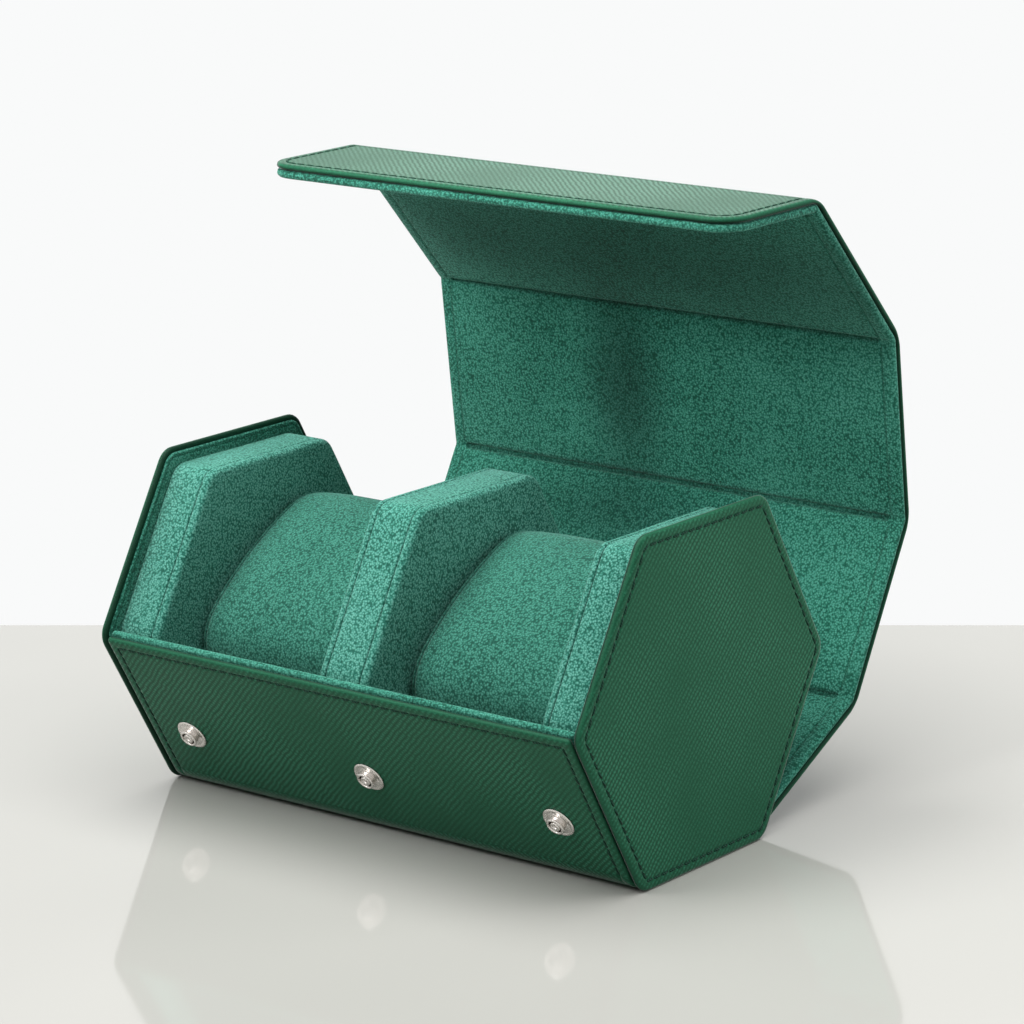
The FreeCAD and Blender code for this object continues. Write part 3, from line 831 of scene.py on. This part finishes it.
cushion = {
    "around": 96, "softened": 8, "endEase": 0.35, "start": 0.25, "seamIn": 2.4, "seamDip": 0.6,
    "shadeFrom": 2.0, "shadeOver": 3.0, "shadeMost": 0.8, "heldPast": 9.0,  # by how far the ends drop they get painted shade, and past heldPast they are held
    "simScale": 6.0, "pressure": 4.0, "cap": 0.9, "frames": 20, "plump": 2.6, "plumpWay": (-0.6, 0.8),
}


def crossOutline(node):
    # The node's own oval near its middle, as points in Y-Z evenly shared round it
    low, high = boxMm(node)
    middle, half = (low.x + high.x) / 2, (high.x - low.x) / 2
    points = [vertex.co / mm for vertex in frame["nodes"][node].data.vertices]
    place = max(p.x for p in points if p.x - middle < half / 3)  # the cover's outside, not its inside
    ring = {(round(p.y, 2), round(p.z, 2)) for p in points if abs(p.x - place) < 0.05}
    centre = (sum(p[0] for p in ring) / len(ring), sum(p[1] for p in ring) / len(ring))
    ring = sorted(ring, key=lambda p: math.atan2(p[1] - centre[1], p[0] - centre[0]))
    lengths = [0.0]
    for number in range(len(ring)):
        lengths.append(lengths[-1] + math.dist(ring[number], ring[(number + 1) % len(ring)]))
    even, segment = [], 0
    for number in range(cushion["around"]):
        target = lengths[-1] * number / cushion["around"]
        while lengths[segment + 1] <= target:
            segment += 1
        share = (target - lengths[segment]) / (lengths[segment + 1] - lengths[segment])
        even.append(between(ring[segment], ring[(segment + 1) % len(ring)], share))
    for _ in range(cushion["softened"]):  # the corners between the outline's short lines
        around = zip(even[-1:] + even[:-1], even, even[1:] + even[:1])
        even = [tuple((a + 2 * b + c) / 4 for a, b, c in zip(*three)) for three in around]
    return even


def outNormals(ring):
    normals = []
    for number in range(len(ring)):
        before, after = ring[number - 1], ring[(number + 1) % len(ring)]
        along = Vector((after[0] - before[0], after[1] - before[1])).normalized()
        normals.append((along.y, -along.x))
    return normals


def cushionRows(half):
    # (x, drop): how far each ring lies in from the widest one
    seam, dip = half - cushion["seamIn"], cushion["seamDip"]
    band = [(share * (seam - 1.0), 1.1 * abs(share) ** 4) for share in [k / 10 for k in range(-10, 11)]]
    side = [
        (seam - 0.45, 1.3), (seam, 1.35 + dip), (seam + 0.45, 1.5), (seam + 1.1, 1.9), (half - 0.7, 3.0),
        (half - 0.2, 4.4), (half, 6.2), (half + 0.1, 10.0), (half + 0.1, 12.0),
    ]
    return [(-x, drop) for x, drop in reversed(side)] + band + side


def cushionPiece(name, node, body):
    low, high = boxMm(node)
    middle, half = (low.x + high.x) / 2, (high.x - low.x) / 2 - cushion["endEase"]
    outline = crossOutline(node)
    normals = outNormals(outline)
    rings, pinned, grain = [], [], []
    for x, drop in cushionRows(half):
        ring = []
        inset = cushion["start"] + drop
        # painted shade: the seam rows darkest, the ends darker as they drop in against the pads
        seam = abs(abs(x) - (half - cushion["seamIn"])) < 0.1
        dark = max(drop - cushion["shadeFrom"], 0.0) / cushion["shadeOver"]
        shade = 1.0 if seam else min(dark, cushion["shadeMost"])
        for (y, z), (ny, nz) in zip(outline, normals):
            facing = max(0.0, ny * cushion["plumpWay"][0] + nz * cushion["plumpWay"][1])
            setIn = inset - cushion["plump"] * facing ** 2
            ring.append((middle + x, y - setIn * ny, z - setIn * nz))
            pinned.append(seam or drop > cushion["heldPast"])
            grain.append((y, z, shade))
        rings.append(ring)
    piece = makePiece(name, *loft(rings), "cushion", grain, sharpAngle=80)
    inflate(piece, pinned)
    finer = piece.modifiers.new("finer", "SUBSURF")
    finer.levels = finer.render_levels = 1
    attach(piece, body)
    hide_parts(node)


def inflate(piece, pinned):
    # Cloth with inner pressure on a copy at a larger scale, each point's travel capped
    scale = cushion["simScale"]
    working = bpy.data.objects.new("blowing_up", piece.data.copy())
    scene.collection.objects.link(working)
    working.data.transform(Matrix.Scale(scale, 4))
    rest = [vertex.co.copy() for vertex in working.data.vertices]
    held = working.vertex_groups.new(name="held")
    held.add([number for number, isPinned in enumerate(pinned) if isPinned], 1.0, "REPLACE")
    cloth = working.modifiers.new("blow", "CLOTH")
    cloth.settings.quality = 6
    cloth.settings.use_pressure = True
    cloth.settings.uniform_pressure_force = cushion["pressure"]
    cloth.settings.vertex_group_mass = "held"
    cloth.settings.effector_weights.gravity = 0.0
    cloth.collision_settings.use_collision = False
    for number in range(1, cushion["frames"] + 1):
        scene.frame_set(number)
    blown = working.evaluated_get(bpy.context.evaluated_depsgraph_get()).data
    limit = cushion["cap"] * mm * scale
    outward = [vertex.normal.copy() for vertex in piece.data.vertices]
    for vertex, start, end, out in zip(piece.data.vertices, rest, blown.vertices, outward):
        step = end.co - start
        step -= out * min(step.dot(out), 0.0)  # the foam inside keeps the cover from sinking
        if step.length > limit:
            step *= limit / step.length
        vertex.co = (start + step) / scale
    scene.frame_set(1)
    bpy.data.objects.remove(working)


cushionPiece("left_cushion_upholstery", "left_cushion_cover", "left_cushion")
cushionPiece("right_cushion_upholstery", "right_cushion_cover", "right_cushion")
print("cushions blown up")


# Press studs and sockets: turned pieces, each post with a ring-shaped slot that two bridges cross

def lathe(profile, place, axes, turns, steps):
    # Revolve a closed (radius, height) profile between two angles; axes are across, up and out
    points, rows = [], []
    whole = turns[1] - turns[0] >= 360
    for step in range(steps if whole else steps + 1):
        c, s = unit(turns[0] + (turns[1] - turns[0]) * step / steps)
        rows.append(range(len(points), len(points) + len(profile)))
        for radius, height in profile:
            across, up, out = axes
            points.append(place + across * (radius * c) + up * (radius * s) + out * height)
    faces = bridge(rows + ([rows[0]] if whole else []))
    if not whole:
        faces += [tuple(rows[0]), tuple(rows[-1])]
    return points, faces


def joined(parts):
    points, faces = [], []
    for somePoints, someFaces in parts:
        base = len(points)
        points += somePoints
        faces += [tuple(base + number for number in face) for face in someFaces]
    return points, faces


stud = {  # closed (radius, height) outlines, and where the bridges cross the post's ring-shaped slot
    "flange": [(1.2, 0.0), (4.55, 0.0), (4.78, 0.1), (4.82, 0.34), (4.62, 0.55), (4.3, 0.62), (4.0, 0.48),
               (3.4, 0.5), (3.0, 0.66), (2.4, 0.72), (1.2, 0.7)],
    "post": [(1.95, 0.7), (2.4, 0.7), (2.36, 1.4), (2.44, 1.75), (2.66, 1.9), (2.72, 2.03), (2.64, 2.17),
             (2.46, 2.27), (2.2, 2.3), (2.02, 2.2), (1.96, 2.05)],
    "boss": [(0.55, 0.7), (1.5, 0.7), (1.5, 2.0), (1.38, 2.18), (1.15, 2.25), (0.75, 2.22), (0.58, 2.08)],
    "bridge": [(1.4, 1.0), (2.05, 1.0), (2.05, 2.1), (1.72, 2.04), (1.4, 2.1)],
    "bridgeTurns": ((20, 75), (200, 255)),
}
socket = [
    (1.2, 0.0), (4.0, 0.0), (4.3, 0.25), (4.3, 1.3), (4.14, 1.75), (3.85, 2.04), (3.5, 2.14), (3.2, 2.08),
    (3.05, 1.9), (3.05, 1.0), (3.0, 0.6), (2.7, 0.5), (1.2, 0.5),
]


def solidCentres(node):  # middles of a node's separate solids along X, left to right
    low, high = boxMm(node)
    points = [vertex.co / mm for vertex in frame["nodes"][node].data.vertices]
    found = []
    for bound in ((low.x, low.x / 3), (low.x / 3, high.x / 3), (high.x / 3, high.x)):
        part = [p for p in points if bound[0] - 0.01 <= p.x <= bound[1] + 0.01]
        found.append(Vector([(min(p[k] for p in part) + max(p[k] for p in part)) / 2 for k in range(3)]))
    return found


def onPanel(panel, middle, depth):  # foot of a fitting on a panel at a depth
    y = (middle.y - panel.origin[0]) * panel.along[0] + (middle.z - panel.origin[1]) * panel.along[1]
    return Vector(panel.point(middle.x, y, depth))


socketHole = {"radius": 3.7, "high": 3.0, "sides": 48}  # in the flap's lining, hidden in the socket's wall


def plug(place, axes):
    across, up, out = axes
    radius, sides = socketHole["radius"], socketHole["sides"]
    turns = [unit(360 * side / sides) for side in range(sides)]
    return loft([
        [place + across * (radius * c) + up * (radius * s) + out * height for c, s in turns]
        for height in (0.0, socketHole["high"])
    ])


def cutOut(piece, parts):  # takes plugs out of a piece for good
    cutter = makePiece("cutter", *joined(parts), "lining")
    cut = piece.modifiers.new("holes", "BOOLEAN")
    cut.operation, cut.solver, cut.object = "DIFFERENCE", "EXACT", cutter
    shaped = piece.evaluated_get(bpy.context.evaluated_depsgraph_get())
    mesh = bpy.data.meshes.new_from_object(shaped)
    mesh.set_sharp_from_angle(angle=math.radians(crispAngle))  # the new rims too, so the face stays flat
    piece.modifiers.clear()
    piece.data = mesh
    bpy.data.objects.remove(cutter)


def buildFittings():
    front, flap = panels["front"], panels["flap"]
    across = Vector((1, 0, 0))
    outFront = -Vector((0, *front.inward))
    upFront = Vector((0, *front.along))
    parts = []
    axes = (across, upFront, outFront)
    for middle in solidCentres("press_studs"):
        place = onPanel(front, middle, 0.0)
        for outline, steps in (("flange", 48), ("post", 48), ("boss", 32)):
            parts.append(lathe(stud[outline], place, axes, (0, 360), steps))
        for turns in stud["bridgeTurns"]:
            parts.append(lathe(stud["bridge"], place, axes, turns, 8))
    studs = makePiece("press_stud_posts", *joined(parts), "nickel", sharpAngle=50)
    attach(studs, "case_body")
    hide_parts("press_studs")
    inFlap = Vector((0, *flap.inward))
    upFlap = Vector((0, *flap.along))
    reach = [(v.co.y / mm - flap.origin[0]) * flap.inward[0] + (v.co.z / mm - flap.origin[1]) * flap.inward[1]
             for v in frame["nodes"]["stud_sockets"].data.vertices]
    parts, holes = [], []
    for middle in solidCentres("stud_sockets"):
        place = onPanel(flap, middle, min(reach) + foldRadius)
        parts.append(lathe(socket, place, (across, upFlap, inFlap), (0, 360), 48))
        holes.append(plug(place, (across, upFlap, inFlap)))
    cutOut(scene.objects["flap_suede_lining"], holes)
    sockets = makePiece("press_stud_sockets", *joined(parts), "nickel", sharpAngle=50)
    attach(sockets, "flap")
    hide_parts("stud_sockets")


buildFittings()
for node, finish in (
    # the stud rivets show through the posts' hollows and carry painted shade
    ("stud_rivets", "darkSteel"), ("socket_rivets", "steel"), ("socket_springs", "steel"),
    ("left_pad_core", "fibreboard"), ("divider_core", "fibreboard"), ("right_pad_core", "fibreboard"),
    ("left_cushion_core", "foam"), ("right_cushion_core", "foam"),
):
    for materialSlot in frame["nodes"][node].material_slots:
        materialSlot.material = finishes[finish]
print("studs, sockets and inner pieces finished")


# Stitching: short twisted threads laid in the grooves

thread = {
    "step": 3.4, "long": 2.95, "radius": 0.4, "sag": 0.16, "slant": 6.0, "sunk": -0.06, "liningSunk": 0.16,
    "socketClear": 5.6,
}


def stitchesAlong(path, normals, sunk, sockets=()):
    # Stitches along a polyline, but not under a socket; normals give the surface direction at its points
    lengths = [0.0]
    for first, second in zip(path[:-1], path[1:]):
        lengths.append(lengths[-1] + (second - first).length)
    count = max(1, round(lengths[-1] / thread["step"]))
    parts = []
    segment = 0
    for number in range(count):
        target = lengths[-1] * (number + 0.5) / count
        while lengths[segment + 1] < target:
            segment += 1
        share = (target - lengths[segment]) / (lengths[segment + 1] - lengths[segment])
        middle = path[segment].lerp(path[segment + 1], share)
        if any((middle - spot).length < thread["socketClear"] for spot in sockets):
            continue
        out = normals[segment].lerp(normals[segment + 1], share).normalized()
        ahead = (path[segment + 1] - path[segment]).normalized()
        across = out.cross(ahead).normalized()
        c, s = unit(thread["slant"])
        parts.append(stitch(middle - out * sunk, ahead * c + across * s, across * c - ahead * s, out))
    return parts


def stitch(middle, ahead, across, out, sides=6):
    shape = ((-0.5, 0.25), (-0.44, 0.7), (-0.25, 1.0), (0.25, 1.0), (0.44, 0.7), (0.5, 0.25))
    turns = [unit(360 * side / sides) for side in range(sides)]
    rings = []
    for place, width in shape:
        sag = -thread["sag"] * (2 * abs(place)) ** 4
        radius = thread["radius"] * width
        run = middle + ahead * (place * thread["long"])
        rings.append([run + across * (radius * c) + out * (radius * s + sag) for c, s in turns])
    return loft(rings)


def stitchPiece(name, parts, body, slot):
    points, faces = joined(parts)
    grain = [tuple(p) for p in points]
    finish = "thread" if slot == "leather" else "liningThread"
    piece = makePiece(name, points, faces, finish, grain, sharpAngle=70)
    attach(piece, body)


def buildStitching():
    innerDepth = panelThick - edgeRoll["liningGroove"]
    layers = (  # piece name, slot, inset, depth, which way is out, how deep the thread lies
        ("outer", "leather", edgeRoll["stitchInset"], edgeRoll["stitchGroove"], -1, thread["sunk"]),
        ("inner", "suede", edgeRoll["liningStitchInset"], innerDepth, 1, thread["liningSunk"]),
    )
    for name, panel in panels.items():
        for layer, slot, inset, depth, sign, sunk in layers:
            ends = leatherEnds(panel) if layer == "outer" else liningEnds(panel)
            path = [Vector(p) for p in panelRing(panel, inset, depth, ends)[0]]
            out = [Vector((0, *panel.inward)) * sign] * len(path)
            sockets = solidCentres("stud_sockets") if (name, layer) == ("flap", "inner") else ()
            if panel.mitres[1] is None:
                parts = stitchesAlong(path, out, sunk, sockets)
            else:
                parts = stitchesAlong(path[:2], out, sunk) + stitchesAlong(path[2:], out, sunk)
            stitchPiece(name + "_" + layer + "_stitching", parts, panel.body, slot)
    for side, name in ((-1, "left"), (1, "right")):
        capLayers = (
            ("outer", "leather", edgeRoll["stitchInset"], edgeRoll["stitchGroove"], 1, thread["sunk"]),
            ("inner", "suede", endCap["seamInset"], capThick - endCap["seamDip"], -1, thread["liningSunk"]),
        )
        for layer, slot, inset, depth, sign, sunk in capLayers:
            ring = hexRing([inset] * 6, endCap["corner"] - inset)
            path = [Vector((side * (halfLength - depth), y, z)) for y, z in ring + ring[:1]]
            parts = stitchesAlong(path, [Vector((side * sign, 0, 0))] * len(path), sunk)
            stitchPiece(name + "_cap_" + layer + "_stitching", parts, "case_body", slot)


buildStitching()
print("stitching laid")


# Camera, floor and light

view = {  # where the photograph was taken from
    "azimuth": 38.4036, "elevation": 14.338, "roll": -0.69967, "focalPixels": 4117.18,
    "shiftRight": 14.2809, "shiftUp": 82.5334, "away": 1152.4545, "pixels": 1024, "sensor": 36.0,
}


def viewAxes():
    ca, sa = unit(view["azimuth"])
    ce, se = unit(view["elevation"])
    back = Vector((sa * ce, -ca * ce, se))
    right = Vector((ca, sa, 0))
    up = back.cross(right)
    cr, sr = unit(view["roll"])
    return right * cr + up * sr, up * cr - right * sr, back


def buildCamera():
    right, up, back = viewAxes()
    data = bpy.data.cameras.new("view")
    data.sensor_width = view["sensor"]
    data.lens = view["focalPixels"] * view["sensor"] / view["pixels"]
    data.clip_start, data.clip_end = 0.05, 20
    camera = bpy.data.objects.new("view", data)
    place = (right * view["shiftRight"] + up * view["shiftUp"] + back * view["away"]) * mm
    turn = Matrix((right, up, back)).transposed().to_4x4()
    camera.matrix_world = Matrix.Translation(place) @ turn
    scene.collection.objects.link(camera)
    scene.camera = camera


stageSizes = {"wide": 2400.0, "near": 2400.0, "edgePixel": 625, "sweep": 3000.0}


def floorPoint(pixelX, pixelY):  # where the view through a pixel meets the floor
    right, up, back = viewAxes()
    eye = right * view["shiftRight"] + up * view["shiftUp"] + back * view["away"]
    middle = view["pixels"] / 2
    ray = (right * (pixelX - middle) + up * (middle - pixelY)) / view["focalPixels"] - back
    return eye + ray * (-eye.z / ray.z)


def lacqueredFloor():
    # Pale lacquered board: an even warm grey under a clear gloss that mirrors the case softly
    material, tree = startMaterial("pale_lacquered_board")
    place = addNode(tree, "ShaderNodeTexCoord").outputs["Object"]
    cloud = addNode(tree, "ShaderNodeTexNoise", Vector=place, Scale=6.0, Detail=2.0)
    ramp = addNode(tree, "ShaderNodeValToRGB", Fac=cloud)
    colour = setRamp(ramp, [(0.3, "#aeada8"), (0.7, "#b2b1ac")])
    shader = addNode(tree, "ShaderNodeBsdfPrincipled", Base_Color=colour, Roughness=0.06, IOR=1.45)
    return finishMaterial(material, shader)


def whiteSweep():
    # Paper sweep behind the board: plain white to the camera
    material, tree = startMaterial("white_paper_sweep")
    rays = addNode(tree, "ShaderNodeLightPath")
    paper = addNode(tree, "ShaderNodeBsdfDiffuse", Color=hexLinear("#f4f4f4"))
    glow = addNode(tree, "ShaderNodeEmission", Color=hexLinear("#f9fafa"), Strength=1.0)
    seen = addNode(
        tree, "ShaderNodeMath", {"operation": "MAXIMUM"},
        in0=rays.outputs["Is Camera Ray"], in1=rays.outputs["Is Glossy Ray"],
    )
    mix = addNode(tree, "ShaderNodeMixShader", in0=seen, in1=paper, in2=glow)
    return finishMaterial(material, mix)


def buildStage():
    edgeLeft = floorPoint(0, stageSizes["edgePixel"])
    edgeRight = floorPoint(view["pixels"], stageSizes["edgePixel"])
    along = (edgeRight - edgeLeft).normalized()
    near = along.cross(Vector((0, 0, 1)))
    middle = (edgeLeft + edgeRight) / 2
    for name, material, reach in (
        ("floor", lacqueredFloor(), stageSizes["near"]), ("sweep", whiteSweep(), -stageSizes["sweep"]),
    ):
        corners = [middle - along * stageSizes["wide"], middle + along * stageSizes["wide"]]
        corners += [corners[1] + near * reach, corners[0] + near * reach]
        mesh = bpy.data.meshes.new(name)
        mesh.from_pydata([Vector((c.x, c.y, -0.05)) * mm for c in corners], [], [(0, 1, 2, 3)])
        mesh.materials.append(material)
        plane = bpy.data.objects.new(name, mesh)
        scene.collection.objects.link(plane)


def buildLight():
    world = bpy.data.worlds.new("studio")
    scene.world = world
    world.use_nodes = True
    tree = world.node_tree
    tree.nodes.clear()
    rays = addNode(tree, "ShaderNodeLightPath")
    some = addNode(
        tree, "ShaderNodeMath", {"operation": "MAXIMUM"},
        in0=rays.outputs["Is Camera Ray"], in1=rays.outputs["Is Glossy Ray"],
    )
    seen = addNode(
        tree, "ShaderNodeMath", {"operation": "MAXIMUM"},
        in0=some, in1=rays.outputs["Is Transmission Ray"],
    )
    room = addNode(tree, "ShaderNodeBackground", Color=hexLinear("#f2f5f5"), Strength=0.17)
    white = addNode(tree, "ShaderNodeBackground", Color=hexLinear("#f9fafa"), Strength=1.0)
    mix = addNode(tree, "ShaderNodeMixShader", in0=seen, in1=room, in2=white)
    addNode(tree, "ShaderNodeOutputWorld", Surface=mix)
    lamps = {  # place and target in metres, size, power; the last one is a narrow beam into the lid
        "key": ((-0.6, -1.0, 1.15), (0, 0, 0.06), 1.0, 11.0),
        "fill": ((1.4, -0.6, 0.9), (0, 0, 0.06), 1.2, 0.7),
        "top": ((0.0, -0.1, 1.5), (0, 0.02, 0.05), 2.0, 41.0),
        "side": ((0.42, 0.3, 0.2), (0.084, 0.05, 0.03), 0.3, 0.9),
        "lid": ((-0.1, -0.3, 0.38), (0.0, 0.1, 0.135), 0.2, 0.12),
    }
    for name, (place, target, size, power) in lamps.items():
        data = bpy.data.lights.new(name, "AREA")
        data.shape = "DISK"
        data.size, data.energy = size, power
        data.spread = math.radians(40 if name == "lid" else 180)
        lamp = bpy.data.objects.new(name, data)
        lamp.location = place
        lamp.visible_glossy = name != "side"  # it is close, so it would mirror in the leather
        lamp.rotation_euler = (Vector(place) - Vector(target)).to_track_quat("Z", "Y").to_euler()
        scene.collection.objects.link(lamp)


buildCamera()
buildStage()
buildLight()
scene.view_settings.view_transform = "Standard"
